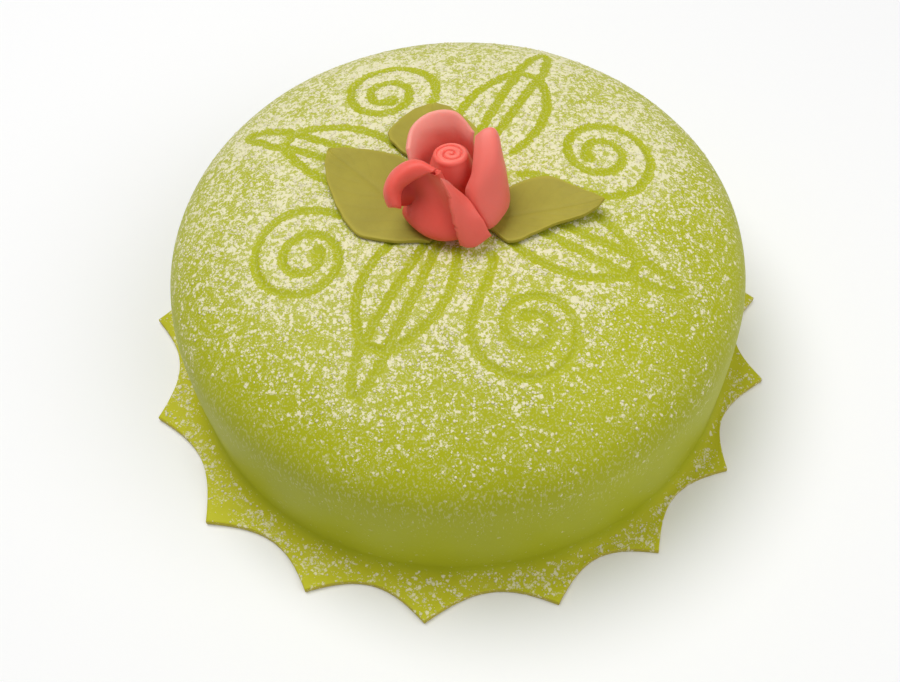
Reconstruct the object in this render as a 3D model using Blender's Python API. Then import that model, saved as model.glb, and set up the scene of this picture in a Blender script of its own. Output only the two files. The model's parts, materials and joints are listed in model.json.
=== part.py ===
"""Princess cake: a domed cake under rolled green marzipan, with a pressed scroll and leaf
ornament, a scalloped skirt, a marzipan rose and three marzipan leaves.

Metres, +Z up. The cake stands on z = 0, and the origin is below the middle of its footprint.
"""
import math

import bmesh
import bpy
from mathutils import Vector
from mathutils.geometry import delaunay_2d_cdt

MM = 0.001
GAP = 0.35 * MM                # air between pieces that touch

# --- Cake: dome, side and skirt -----------------------------------------------------------------
BODY_RADIUS = 109.5 * MM       # at the widest level of the side
BODY_SHIFT_Y = -1.5 * MM       # the body sits a little in front of the middle of the skirt
SHOULDER_Z = 50.0 * MM         # height of the widest level
APEX_Z = 87.0 * MM             # top of the dome
DOME_POWER = 2.6               # 2 is an ellipse, higher is flatter on top
CREASE_RADIUS = 107.2 * MM     # where the side starts to flow out into the skirt
CREASE_Z = 10.0 * MM
FILLET = 7.2 * MM              # how far the marzipan sweeps out before it lies flat
FILLET_SHARE = 0.85            # the most of the skirt's width that the sweep may take
FILLET_TURNS = (90, 64, 38, 16)     # degrees from upright at the rings of the sweep
SIDE_POWER = 2.2               # how low the side keeps its width before it curves in
SKIRT_EDGE = 2.8 * MM          # thickness of the cut edge of the skirt
SCALLOP_DIP = 11.0 * MM        # how far each cut runs in between two points
SCALLOP_STEPS = 8              # facets along each scallop
CAP_RADIUS = 101.0 * MM        # inside this the top is one field of fine triangles
CAP_RINGS = 9

# Points of the skirt, cut by hand: (angle in degrees, distance from the middle in mm).
SKIRT_POINTS = (
    (4.2, 123.5), (25.4, 125.0), (46.5, 126.5), (67.7, 125.5), (88.9, 126.0), (110.0, 125.0),
    (131.2, 126.5), (152.3, 126.0), (173.5, 127.1), (195.3, 127.0), (218.8, 129.2),
    (240.7, 127.4), (261.5, 127.3), (284.1, 125.3), (303.9, 124.2), (324.8, 122.1),
    (345.6, 123.9),
)

# --- Pressed ornament ---------------------------------------------------------------------------
ORNAMENT_CENTRE = (1.0 * MM, 3.5 * MM)
GROOVE_WIDTH = 3.6 * MM
GROOVE_DEPTH = 0.7 * MM
GROOVE_STEP = 4.2 * MM         # spacing of the points along a groove
GROOVE_CLEAR = 1.3 * MM        # two points on the top are never closer than this

# Leaf motifs: turn in degrees, length from the middle of the ornament in mm, width scale.
LEAF_MOTIFS = ((-115.0, 89.9, 1.0), (151.2, 92.4, 0.92), (64.7, 91.3, 1.0), (-28.0, 90.6, 0.95))
# Scrolls: middle x, middle y in mm, turn in degrees, size scale.
SCROLLS = ((25.0, -55.0, -67.7, 1.0), (-54.0, -20.0, -156.9, 1.0),
           (-24.0, 59.0, 114.2, 0.92), (56.0, 22.0, 18.6, 1.0))
SCROLL_RADIUS = 21.5 * MM
SCROLL_SHRINK = 0.82           # natural log of how much a scroll narrows in one turn
SCROLL_TURNS = 1.75
SCROLL_DOT = 1.2 * MM          # radius of the blunt end in the middle of a scroll

# --- Marzipan leaves ----------------------------------------------------------------------------
LEAF_THICKNESS = 1.8 * MM
LEAF_LENGTH_STEPS = 14
LEAF_WIDTH_STEPS = 8
ROSE_FOOT_CLEAR = 11.8 * MM    # the leaves are cut back to this round the foot of the rose
# Half widths are in mm, at these shares of the length from foot to tip.
LEAF_STATIONS = (0.0, 0.15, 0.35, 0.6, 0.8, 0.93, 1.0)


class Leaf:
    """A flat marzipan leaf that lies on the dome."""

    def __init__(self, foot, tip, left, right, wave, tip_lift):
        self.foot = Vector(foot) * MM
        self.tip = Vector(tip) * MM
        self.left = left                            # half widths left of the line to the tip
        self.right = right
        self.wave = wave * MM                       # how far its edges ripple
        self.tip_lift = tip_lift * MM


LEAVES = {
    "leaf_left": Leaf((-7.0, -17.5), (-46.0, 28.0), (3.0, 12.0, 19.0, 16.0, 10.5, 5.0, 0.5),
                      (6.0, 12.0, 17.5, 17.2, 11.3, 5.0, 0.5), 0.8, 0.4),
    "leaf_right": Leaf((11.0, -11.0), (54.0, -6.0), (6.0, 11.0, 15.5, 15.8, 8.5, 3.5, 0.5),
                       (3.0, 11.0, 9.5, 6.2, 5.0, 3.0, 0.5), 0.9, 4.5),
    "leaf_back": Leaf((-6.0, 12.0), (-6.0, 48.5), (2.0, 6.0, 13.0, 17.5, 12.5, 7.0, 1.0),
                      (6.0, 13.0, 18.0, 16.5, 11.5, 6.5, 1.0), 0.6, 0.3),
}

# --- Rose ---------------------------------------------------------------------------------------
ROSE_X = 0.0 * MM
ROSE_Y = 1.0 * MM
BUD_HEIGHT = 24.5 * MM
BUD_WRAPS = 2.0                # turns of the rolled strip that show on top of the bud
BUD_SIDES = 28
PETAL_THICKNESS = 2.2 * MM
PETAL_ROUND_STEPS = 16
PETAL_UP_STEPS = 12
# Profile of the bud: (radius, height) in mm.
BUD_PROFILE = ((0.0, 0.0), (5.2, 0.0), (6.4, 3.0), (7.7, 9.0), (8.2, 15.0), (7.2, 20.0),
               (6.3, 23.2), (5.4, 24.4))
BUD_TOP_SHARES = (0.8, 0.6, 0.42, 0.26, 0.12)      # rings on its top, as shares of its rim
BUD_LEAN = 0.2                 # how steeply its top falls to the back
ROLL_DEPTH = 0.8 * MM          # half the depth of the spiral on its top

# Every petal follows ribs, each from its lowest named point to its rim: (x, y, height) in mm. A
# rib names belly, waist, crest and rim, and the rolled lip has a brow between crest and rim.
# The ribs run to the right, seen from the front.
PETALS = {
    "petal_back": (
        ((-12.5, 0.0, 6.5), (-14.0, 0.0, 13.0), (-14.3, 1.0, 19.5), (-15.2, 4.0, 24.3)),
        ((-10.8, 8.8, 9.0), (-11.0, 8.4, 17.0), (-11.6, 9.3, 23.0), (-13.0, 11.8, 27.2)),
        ((-5.0, 13.4, 9.0), (-5.0, 13.4, 18.0), (-5.2, 13.8, 24.0), (-6.3, 16.7, 28.6)),
        ((2.3, 14.1, 9.0), (2.4, 13.7, 17.0), (2.3, 14.2, 23.0), (2.4, 16.9, 28.2)),
        ((7.7, 10.0, 7.0), (8.4, 10.0, 13.0), (8.4, 10.4, 18.0), (8.8, 12.3, 22.0)),
    ),
    "petal_right": (
        ((8.9, -14.5, 8.4), (4.6, -10.6, 16.5), (7.1, -7.0, 22.8), (8.8, 3.0, 30.1)),
        ((11.8, -18.0, 6.5), (9.1, -14.0, 17.7), (10.6, -7.5, 25.6), (12.2, 4.0, 32.5)),
        ((15.8, -14.0, 6.5), (16.6, -9.5, 17.4), (15.6, -4.0, 27.0), (15.4, 4.5, 32.0)),
        ((18.4, -7.0, 5.5), (18.4, -3.0, 14.1), (17.0, 1.5, 22.0), (16.0, 6.5, 26.0)),
        ((17.2, 4.0, 6.5), (17.4, 6.0, 14.0), (16.2, 8.0, 19.0), (14.6, 9.5, 22.5)),
    ),
    "petal_left": (
        ((-14.5, -5.0, 7.0), (-17.0, -9.8, 11.0), (-21.7, -14.9, 15.6), (-20.6, -16.8, 18.1),
         (-18.3, -16.0, 16.1)),
        ((-17.0, -9.2, 5.3), (-14.0, -9.6, 13.5), (-22.3, -11.1, 20.5), (-21.0, -13.5, 23.5),
         (-17.7, -12.4, 20.9)),
        ((-12.3, -16.6, 5.0), (-11.4, -9.9, 16.0), (-18.5, -6.5, 24.5), (-17.3, -10.2, 27.4),
         (-14.9, -11.0, 23.4)),
        ((-5.6, -20.6, 4.8), (-6.2, -13.0, 17.0), (-11.0, -6.4, 26.8), (-10.2, -8.7, 29.7),
         (-9.0, -10.9, 27.3)),
        ((1.6, -20.9, 4.6), (0.3, -18.0, 13.0), (-1.3, -15.0, 21.8), (-2.8, -12.6, 27.2),
         (-3.7, -11.9, 30.0)),
    ),
    "petal_fold": (
        ((0.9, -24.0, 4.6), (-0.8, -22.6, 14.5), (-1.5, -18.8, 22.6), (-3.9, -14.6, 29.6)),
        ((6.3, -24.4, 3.2), (4.1, -20.6, 12.3), (0.9, -16.6, 21.0), (-3.0, -14.2, 28.6)),
        ((12.7, -21.2, 5.2), (9.3, -18.4, 12.0), (4.2, -13.9, 17.4), (-2.0, -13.9, 27.2)),
    ),
}
HANGING = "petal_fold"         # folded over the left petal, it has no foot of its own
FOOT_RADIUS = 9.9 * MM
FOOT_RISE = 0.2 * MM
KNEE_RISE = 4.4 * MM           # the foot is upright up to here, over the leaves


def clear_scene():
    for thing in list(bpy.data.objects):
        bpy.data.objects.remove(thing, do_unlink=True)


def make_material(name, colour, roughness):
    material = bpy.data.materials.new(name)
    material.use_nodes = True
    shader = material.node_tree.nodes["Principled BSDF"]
    shader.inputs["Base Color"].default_value = (*colour, 1.0)
    shader.inputs["Roughness"].default_value = roughness
    return material


def add_object(name, points, faces, material):
    """A closed body from points and faces, with its faces turned outward."""
    mesh = bpy.data.meshes.new(name)
    mesh.from_pydata([tuple(p) for p in points], [], faces)
    shape = bmesh.new()
    shape.from_mesh(mesh)
    bmesh.ops.recalc_face_normals(shape, faces=shape.faces)
    bmesh.ops.triangulate(shape, faces=shape.faces)
    shape.to_mesh(mesh)
    shape.free()
    mesh.materials.append(material)
    mesh.shade_smooth()
    mesh.set_sharp_from_angle(angle=math.radians(50))
    thing = bpy.data.objects.new(name, mesh)
    bpy.context.collection.objects.link(thing)
    return thing


def bridge(lower, upper):
    """Quads between two closed rings of the same count."""
    count = len(lower)
    faces = []
    for i in range(count):
        j = (i + 1) % count
        faces.append((lower[i], lower[j], upper[j], upper[i]))
    return faces


# --- Cake ---------------------------------------------------------------------------------------

def dome_height(x, y):
    """Height of the smooth top above (x, y), without the ornament."""
    reach = min(1.0, math.hypot(x, y - BODY_SHIFT_Y) / BODY_RADIUS)
    rise = (1.0 - reach ** DOME_POWER) ** (1.0 / DOME_POWER)
    return SHOULDER_Z + (APEX_Z - SHOULDER_Z) * rise


def bezier(start, pull_start, pull_end, end, steps):
    """Points on a cubic curve."""
    points = []
    for i in range(steps + 1):
        t = i / steps
        s = 1.0 - t
        weights = (s ** 3, 3 * s * s * t, 3 * s * t * t, t ** 3)
        corners = (start, pull_start, pull_end, end)
        points.append(tuple(sum(w * c[k] for w, c in zip(weights, corners)) for k in (0, 1)))
    return points


def leaf_motif_strokes(length, width):
    """One pressed leaf along +X: two edges, two veins, a bar and the loop at its tip."""
    waist = length * 0.78
    side = 15.0 * MM * width
    upper = bezier((24 * MM, 0.7 * side), (42 * MM, 1.25 * side), (58 * MM, 0.9 * side),
                   (waist, 0.24 * side), 10)
    lower = bezier((27 * MM, -0.8 * side), (44 * MM, -1.3 * side), (58 * MM, -1.1 * side),
                   (waist, -0.4 * side), 10)
    vein_high = [(23 * MM, 0.2 * side), (45 * MM, 0.25 * side), (waist, 0.2 * side)]
    vein_low = [(23 * MM, -0.07 * side), (45 * MM, -0.25 * side), (waist, -0.36 * side)]
    bar = [(waist, 0.24 * side), (waist, -0.4 * side)]
    loop = bezier((waist, 0.24 * side), (length * 1.05, 0.15 * side),
                  (length * 1.05, -0.25 * side), (waist, -0.4 * side), 10)
    return [upper, lower, vein_high, vein_low, bar, loop]


def scroll_strokes(size):
    """One pressed scroll round its own middle: a tail that sweeps in from -X, then a spiral."""
    radius = SCROLL_RADIUS * size
    tail = bezier((-1.5 * radius, 0.0), (-1.0 * radius, -0.1 * radius),
                  (-0.75 * radius, -radius), (0.0, -radius), 8)
    spiral = []
    steps = 26
    for i in range(1, steps + 1):
        turns = SCROLL_TURNS * i / steps
        shrunk = radius * math.exp(-SCROLL_SHRINK * turns)
        angle = 2 * math.pi * turns - math.pi / 2
        spiral.append((shrunk * math.cos(angle), shrunk * math.sin(angle)))
    end_x, end_y = spiral[-1]
    dot = []
    for i in range(7):
        angle = math.pi * i / 3
        dot.append((end_x + SCROLL_DOT * math.cos(angle), end_y + SCROLL_DOT * math.sin(angle)))
    return [tail + spiral, dot]


def place(stroke, x, y, turn):
    """A stroke turned about its own origin and moved to (x, y)."""
    c, s = math.cos(turn), math.sin(turn)
    return [(x + c * px - s * py, y + s * px + c * py) for px, py in stroke]


def ornament_strokes():
    strokes = []
    for turn, length, width in LEAF_MOTIFS:
        for stroke in leaf_motif_strokes(length * MM, width):
            strokes.append(place(stroke, *ORNAMENT_CENTRE, math.radians(turn)))
    for x, y, turn, size in SCROLLS:
        for stroke in scroll_strokes(size):
            strokes.append(place(stroke, x * MM, y * MM, math.radians(turn)))
    return strokes


def even_points(stroke, step):
    """Points at about an even step along a stroke, each with the stroke's direction there."""
    lengths = [0.0]
    for a, b in zip(stroke, stroke[1:]):
        lengths.append(lengths[-1] + math.dist(a, b))
    count = max(2, round(lengths[-1] / step) + 1)
    points = []
    piece = 0
    for i in range(count):
        goal = lengths[-1] * i / (count - 1)
        while piece < len(stroke) - 2 and lengths[piece + 1] < goal:
            piece += 1
        a, b = Vector(stroke[piece]), Vector(stroke[piece + 1])
        part = (goal - lengths[piece]) / max(1e-9, lengths[piece + 1] - lengths[piece])
        points.append((a.lerp(b, part), (b - a).normalized()))
    return points


def groove_depth(point, middles):
    """Depth of the nearest groove at a point of the top."""
    nearest = min((point - middle).length for middle in middles)
    return GROOVE_DEPTH * max(0.0, 1.0 - nearest / (GROOVE_WIDTH / 2))


def skirt_outline():
    """(angle, reach) round the skirt: concave cuts between points."""
    outline = []
    count = len(SKIRT_POINTS)
    for i, (start, reach) in enumerate(SKIRT_POINTS):
        end, next_reach = SKIRT_POINTS[(i + 1) % count]
        span = (end - start) % 360.0
        for k in range(SCALLOP_STEPS):
            t = k / SCALLOP_STEPS
            inset = SCALLOP_DIP * 4 * t * (1 - t)
            outline.append((math.radians(start + span * t),
                            (reach + (next_reach - reach) * t) * MM - inset))
    return outline


def side_rings(outline):
    """Rings of points from the underside of the skirt up to the edge of the cap."""
    rings = []
    levels = [(None, 0.0), (None, SKIRT_EDGE)]
    for turn in map(math.radians, FILLET_TURNS):
        levels.append((1 - math.cos(turn), CREASE_Z - (CREASE_Z - SKIRT_EDGE) * math.sin(turn)))
    for swept, height in levels:
        ring = []
        for angle, reach in outline:
            inner = Vector((CREASE_RADIUS * math.cos(angle),
                            CREASE_RADIUS * math.sin(angle) + BODY_SHIFT_Y))
            outer = Vector((reach * math.cos(angle), reach * math.sin(angle)))
            width = (outer - inner).length
            share = 1.0 if swept is None else swept * min(FILLET_SHARE, FILLET / width)
            at = inner.lerp(outer, share)
            ring.append((at.x, at.y, height))
        rings.append(ring)
    profile = []
    for share in (0.0, 0.12, 0.35, 0.65, 1.0):
        height = CREASE_Z + (SHOULDER_Z - CREASE_Z) * share
        radius = BODY_RADIUS - (BODY_RADIUS - CREASE_RADIUS) * (1 - share) ** SIDE_POWER
        profile.append((radius, height))
    for reach in (0.993, 0.972):
        radius = BODY_RADIUS * reach
        profile.append((radius, dome_height(radius, BODY_SHIFT_Y)))
    profile.append((CAP_RADIUS, dome_height(CAP_RADIUS, BODY_SHIFT_Y)))
    for radius, height in profile:
        rings.append([(radius * math.cos(angle), radius * math.sin(angle) + BODY_SHIFT_Y, height)
                      for angle, _ in outline])
    return rings


def cap_points(rim):
    """Points of the top: the rim, both edges and the floor of each groove, and rings between."""
    middles = []
    wanted = []
    for stroke in ornament_strokes():
        for middle, along in even_points(stroke, GROOVE_STEP):
            middles.append(middle)
            across = Vector((-along.y, along.x)) * GROOVE_WIDTH / 2
            wanted.append((0, middle))
            wanted.append((1, middle + across))
            wanted.append((1, middle - across))
    for ring in range(CAP_RINGS):
        radius = CAP_RADIUS * ring / CAP_RINGS
        count = max(1, 6 * ring)
        for i in range(count):
            angle = 2 * math.pi * (i + 0.5 * (ring % 2)) / count
            wanted.append((2, Vector((radius * math.cos(angle),
                                      radius * math.sin(angle) + BODY_SHIFT_Y))))
    kept = [Vector((x, y)) for x, y, _ in rim]
    spacing = {0: GROOVE_CLEAR, 1: GROOVE_CLEAR, 2: 4.5 * MM}
    for rank, point in sorted(wanted, key=lambda entry: entry[0]):
        if math.hypot(point.x, point.y - BODY_SHIFT_Y) > CAP_RADIUS - 2 * MM:
            continue
        if all((point - other).length > spacing[rank] for other in kept):
            kept.append(point)
    fine = []
    for stroke in ornament_strokes():
        fine.extend(middle for middle, _ in even_points(stroke, 1.0 * MM))
    return kept, fine


def make_cake(material):
    outline = skirt_outline()
    rings = side_rings(outline)
    count = len(outline)
    points = [point for ring in rings for point in ring]
    faces = [tuple(reversed(range(count)))]
    for i in range(len(rings) - 1):
        lower = list(range(i * count, (i + 1) * count))
        faces += bridge(lower, [k + count for k in lower])
    flat, middles = cap_points(rings[-1])
    rim_edges = [(i, (i + 1) % count) for i in range(count)]
    corners, _, triangles, *_ = delaunay_2d_cdt(flat, rim_edges, [], 0, 1e-7)
    first = len(points) - count
    number = []
    for i, corner in enumerate(corners):
        if i < count:
            number.append(first + i)
            continue
        number.append(len(points))
        depth = groove_depth(corner, middles)
        points.append((corner.x, corner.y, dome_height(corner.x, corner.y) - depth))
    faces += [tuple(number[k] for k in triangle) for triangle in triangles]
    return add_object("cake", points, faces, material)


# --- Thin curved sheets: leaves and petals ------------------------------------------------------

def solid_sheet(name, middle, normal_of, columns, rows, thickness_at, material):
    """A closed sheet: two faces of the same grid, set off from its middle surface."""
    points = []
    for side in (1, -1):
        for i in range(columns + 1):
            for j in range(rows + 1):
                offset = normal_of(i, j) * (side * thickness_at(i, j) / 2)
                points.append(middle(i, j) + offset)
    size = (columns + 1) * (rows + 1)

    def number(side, i, j):
        return side * size + i * (rows + 1) + j

    faces = []
    for i in range(columns):
        for j in range(rows):
            a, b = number(0, i, j), number(0, i + 1, j)
            c, d = number(0, i + 1, j + 1), number(0, i, j + 1)
            faces += [(a, b, c), (a, c, d)]
            faces += [(a + size, c + size, b + size), (a + size, d + size, c + size)]
    rim = [(i, 0) for i in range(columns)] + [(columns, j) for j in range(rows)]
    rim += [(i, rows) for i in range(columns, 0, -1)] + [(0, j) for j in range(rows, 0, -1)]
    for k, (i, j) in enumerate(rim):
        p, q = rim[k], rim[(k + 1) % len(rim)]
        a, b = number(0, *p), number(0, *q)
        faces += [(a, a + size, b + size), (a, b + size, b)]
    return add_object(name, points, faces, material)


def half_width(widths, along):
    """Half width of a leaf at a share of its length, eased between its stations."""
    for k in range(len(LEAF_STATIONS) - 1):
        if along <= LEAF_STATIONS[k + 1]:
            break
    t = (along - LEAF_STATIONS[k]) / (LEAF_STATIONS[k + 1] - LEAF_STATIONS[k])
    before = widths[max(0, k - 1)]
    after = widths[min(len(widths) - 1, k + 2)]
    a, b = widths[k], widths[k + 1]
    curve = a + 0.5 * t * (b - before + t * (2 * before - 5 * a + 4 * b - after
                                             + t * (3 * (a - b) + after - before)))
    return max(0.5, curve) * MM


def leaf_point(leaf, along, across):
    """A point on the middle surface of a leaf. along runs 0..1, across -1..1."""
    run = leaf.tip - leaf.foot
    sideways = Vector((-run.y, run.x)).normalized()
    width = half_width(leaf.left if across > 0 else leaf.right, along)
    at = leaf.foot + run * along + sideways * (across * width)
    ripple = 0.5 + 0.5 * math.sin(9.0 * along + 2.0 * across)
    rise = leaf.wave * ripple * across * across * along + leaf.tip_lift * along ** 3
    return Vector((at.x, at.y, dome_height(at.x, at.y) + GAP + LEAF_THICKNESS / 2 + rise))


def make_leaf(name, leaf, material):
    def middle(i, j):
        return leaf_point(leaf, i / LEAF_LENGTH_STEPS, 2 * j / LEAF_WIDTH_STEPS - 1)

    def upward(i, j):
        return Vector((0, 0, 1))

    def thickness(i, j):
        return LEAF_THICKNESS

    body = solid_sheet(name, middle, upward, LEAF_LENGTH_STEPS, LEAF_WIDTH_STEPS, thickness,
                       material)
    bpy.ops.mesh.primitive_cylinder_add(vertices=32, radius=ROSE_FOOT_CLEAR, depth=0.1,
                                        location=(ROSE_X, ROSE_Y, APEX_Z))
    cutter = bpy.context.object
    cut = body.modifiers.new("rose_foot", "BOOLEAN")
    cut.object = cutter
    bpy.context.view_layer.objects.active = body
    bpy.ops.object.modifier_apply(modifier=cut.name)
    bpy.data.objects.remove(cutter, do_unlink=True)
    return body


def smooth(values, share):
    """A value at a share of the way through evenly spaced values, on a smooth curve."""
    reach = share * (len(values) - 1)
    k = min(int(reach), len(values) - 2)
    t = reach - k
    a, b = values[k], values[k + 1]
    before = values[k - 1] if k > 0 else a * 2 - b
    after = values[k + 2] if k + 2 < len(values) else b * 2 - a
    return a + 0.5 * t * (b - before + t * (2 * before - 5 * a + 4 * b - after
                                            + t * (3 * (a - b) + after - before)))


def rib_lines(name):
    """The ribs of a petal as points, with a foot and a knee below those that stand."""
    base = Vector((0, 0, dome_height(ROSE_X, ROSE_Y) + GAP))
    lines = []
    for rib in PETALS[name]:
        line = [base + Vector(point) * MM for point in rib]
        if name != HANGING:
            outward = Vector((line[0].x - ROSE_X, line[0].y - ROSE_Y, 0.0)).normalized()
            foot = base + Vector((ROSE_X, ROSE_Y, 0.0)) + outward * FOOT_RADIUS
            line = [foot + Vector((0, 0, FOOT_RISE)), foot + Vector((0, 0, KNEE_RISE))] + line
        lines.append(line)
    return lines


def make_petal(name, material):
    lines = rib_lines(name)

    def middle(i, j):
        across = [smooth(line, j / PETAL_UP_STEPS) for line in lines]
        return smooth(across, i / PETAL_ROUND_STEPS)

    def outward(i, j):
        left, right = max(0, i - 1), min(PETAL_ROUND_STEPS, i + 1)
        low, high = max(0, j - 1), min(PETAL_UP_STEPS, j + 1)
        return (middle(right, j) - middle(left, j)).cross(middle(i, high) - middle(i, low)).normalized()

    def thickness(i, j):
        edge = max(abs(2 * i / PETAL_ROUND_STEPS - 1), abs(2 * j / PETAL_UP_STEPS - 1))
        return PETAL_THICKNESS * (1.0 - 0.55 * edge ** 6)

    return solid_sheet(name, middle, outward, PETAL_ROUND_STEPS, PETAL_UP_STEPS, thickness,
                       material)


def make_bud(material):
    """The rolled heart of the rose: a turned body whose top carries a low spiral."""
    base = dome_height(ROSE_X, ROSE_Y) + GAP
    points = [Vector((ROSE_X, ROSE_Y, base))]
    rings = []
    profile = list(BUD_PROFILE[1:])
    for share in BUD_TOP_SHARES:
        profile.append((BUD_PROFILE[-1][0] * share, BUD_HEIGHT / MM))
    for radius, height in profile:
        ring = []
        for i in range(BUD_SIDES):
            angle = 2 * math.pi * i / BUD_SIDES
            ring.append(len(points))
            roll = 0.0
            if height >= BUD_HEIGHT / MM - 0.2:
                wrap = BUD_WRAPS * radius / BUD_PROFILE[-1][0] - i / BUD_SIDES
                roll = ROLL_DEPTH * (math.cos(2 * math.pi * wrap) - 0.6)
            across, back = radius * MM * math.cos(angle), radius * MM * math.sin(angle)
            lean = BUD_LEAN * back * height * MM / BUD_HEIGHT
            points.append(Vector((ROSE_X + across, ROSE_Y + back, base + height * MM + roll - lean)))
        rings.append(ring)
    points.append(Vector((ROSE_X, ROSE_Y, base + BUD_HEIGHT)))
    faces = []
    for lower, upper in zip(rings, rings[1:]):
        faces += bridge(lower, upper)
    for i in range(BUD_SIDES):
        j = (i + 1) % BUD_SIDES
        faces.append((0, rings[0][j], rings[0][i]))
        faces.append((rings[-1][i], rings[-1][j], len(points) - 1))
    return add_object("rose_bud", points, faces, material)


def stand_over_footprint():
    """Moves every piece so that the origin is below the middle of the skirt's outline."""
    reach_x = [reach * math.cos(angle) for angle, reach in skirt_outline()]
    reach_y = [reach * math.sin(angle) for angle, reach in skirt_outline()]
    middle = Vector((max(reach_x) + min(reach_x), max(reach_y) + min(reach_y), 0.0)) / 2
    for thing in bpy.data.objects:
        thing.location -= middle


def main():
    clear_scene()
    green = make_material("green_marzipan", (0.36, 0.42, 0.035), 0.55)
    olive = make_material("leaf_marzipan", (0.36, 0.33, 0.045), 0.6)
    pink = make_material("rose_marzipan", (0.75, 0.13, 0.11), 0.45)
    make_cake(green)
    for name, leaf in LEAVES.items():
        make_leaf(name, leaf, olive)
    make_bud(pink)
    for name in PETALS:
        make_petal(name, pink)
    stand_over_footprint()


main()
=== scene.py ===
# %% [markdown]
# # A princess cake in Blender
#
# A princess cake is a dome of sponge and cream under a thin sheet of green marzipan. This one
# has an ornament pressed into its top, a dusting of icing sugar, a scalloped skirt, three
# marzipan leaves and a marzipan rose. The cells below build its fine surface over a packed
# model of plain solids, which fixes every size and place.

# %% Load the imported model
import json
import math
import random

import bmesh
import bpy
import numpy as np
from mathutils import Euler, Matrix, Vector, kdtree, noise
from mathutils.bvhtree import BVHTree

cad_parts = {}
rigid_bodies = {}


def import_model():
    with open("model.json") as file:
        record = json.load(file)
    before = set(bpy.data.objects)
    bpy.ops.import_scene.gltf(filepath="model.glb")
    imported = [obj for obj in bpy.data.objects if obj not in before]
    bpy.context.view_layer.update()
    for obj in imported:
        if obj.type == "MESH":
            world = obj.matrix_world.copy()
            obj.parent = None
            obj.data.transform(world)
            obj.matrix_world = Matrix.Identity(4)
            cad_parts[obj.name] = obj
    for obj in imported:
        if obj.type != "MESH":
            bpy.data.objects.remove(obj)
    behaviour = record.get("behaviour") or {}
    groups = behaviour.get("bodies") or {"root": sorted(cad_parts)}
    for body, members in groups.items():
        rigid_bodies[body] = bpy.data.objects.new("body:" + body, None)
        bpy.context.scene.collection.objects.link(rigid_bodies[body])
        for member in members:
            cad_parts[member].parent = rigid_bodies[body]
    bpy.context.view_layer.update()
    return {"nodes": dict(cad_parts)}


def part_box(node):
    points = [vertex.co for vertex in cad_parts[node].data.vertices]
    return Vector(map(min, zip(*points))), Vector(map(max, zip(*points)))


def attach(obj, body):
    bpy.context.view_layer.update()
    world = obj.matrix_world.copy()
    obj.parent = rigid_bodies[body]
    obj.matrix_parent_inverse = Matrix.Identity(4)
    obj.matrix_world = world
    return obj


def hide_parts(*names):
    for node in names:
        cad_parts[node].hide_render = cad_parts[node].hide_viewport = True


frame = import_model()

print("packed nodes:", sorted(frame["nodes"]))

# %% [markdown]
# ## Measures
#
# The sizes repeat those of the solids, so that the fine surface lies where the solids are.
# They are in metres, written as millimetres times MM, because a baker thinks in millimetres.
# The rose stands on its own axis, and the box of its bud says where that is.

# %% Sizes of the dome, side and skirt
MM = 0.001
BODY_RADIUS = 109.5 * MM       # at the widest level of the side
BODY_SHIFT_Y = -1.5 * MM       # the body sits a little in front of the middle of the skirt
SHOULDER_Z = 50.0 * MM
APEX_Z = 87.0 * MM
DOME_POWER = 2.6
CREASE_RADIUS = 107.2 * MM
CREASE_Z = 10.0 * MM
FILLET = 7.2 * MM
FILLET_SHARE = 0.85
SIDE_POWER = 2.2
SKIRT_EDGE = 2.8 * MM
SCALLOP_DIP = 11.0 * MM
SKIRT_POINTS = (
    (4.2, 123.5), (25.4, 125.0), (46.5, 126.5), (67.7, 125.5), (88.9, 126.0), (110.0, 125.0),
    (131.2, 126.5), (152.3, 126.0), (173.5, 127.1), (195.3, 127.0), (218.8, 129.2),
    (240.7, 127.4), (261.5, 127.3), (284.1, 125.3), (303.9, 124.2), (324.8, 122.1),
    (345.6, 123.9),
)
ROSE_X, ROSE_Y = 0.0 * MM, 1.0 * MM
bud_low, bud_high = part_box("rose_bud")
SHIFT = Vector(((bud_low[0] + bud_high[0]) / 2 - ROSE_X, (bud_low[1] + bud_high[1]) / 2 - ROSE_Y, 0))
print("the cake's own middle lies", [round(v / MM, 2) for v in SHIFT], "mm from the origin")


# %% Height of the smooth dome
def dome_height(x, y):
    reach = min(1.0, math.hypot(x, y - BODY_SHIFT_Y) / BODY_RADIUS)
    rise = (1.0 - reach ** DOME_POWER) ** (1.0 / DOME_POWER)
    return SHOULDER_Z + (APEX_Z - SHOULDER_Z) * rise


print("top of the dome:", round(dome_height(0, BODY_SHIFT_Y) / MM, 1), "mm")

# %% [markdown]
# ## Camera
#
# The camera looks from the front, 56 degrees above the table, with a normal lens about 56 cm
# away. It leans three degrees, as a hand-held one does. The middle of the cake's foot lies a
# little right of and above the middle of the frame, which a small lens shift gives.

# %% Camera
IMAGE_WIDTH, IMAGE_HEIGHT = 900, 682
VIEW_ELEVATION = 56.0
VIEW_ROLL = -3.1
VIEW_DISTANCE = 0.561
LENS = 54.0
SENSOR = 36.0
PIXEL_SHIFT = (10.5, -6.1)


def make_camera():
    data = bpy.data.cameras.new("camera")
    camera = bpy.data.objects.new("camera", data)
    bpy.context.collection.objects.link(camera)
    up = math.radians(VIEW_ELEVATION)
    camera.location = SHIFT + Vector((0, -VIEW_DISTANCE * math.cos(up), VIEW_DISTANCE * math.sin(up)))
    tilt = Euler((math.pi / 2 - up, 0, 0)).to_matrix()
    roll = Euler((0, 0, math.radians(VIEW_ROLL))).to_matrix()
    camera.rotation_euler = (tilt @ roll).to_euler()
    data.sensor_width = SENSOR
    data.lens = LENS
    data.shift_x = -PIXEL_SHIFT[0] / IMAGE_WIDTH
    data.shift_y = PIXEL_SHIFT[1] / IMAGE_WIDTH
    data.clip_start = 0.01
    bpy.context.scene.camera = camera
    return camera


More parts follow.
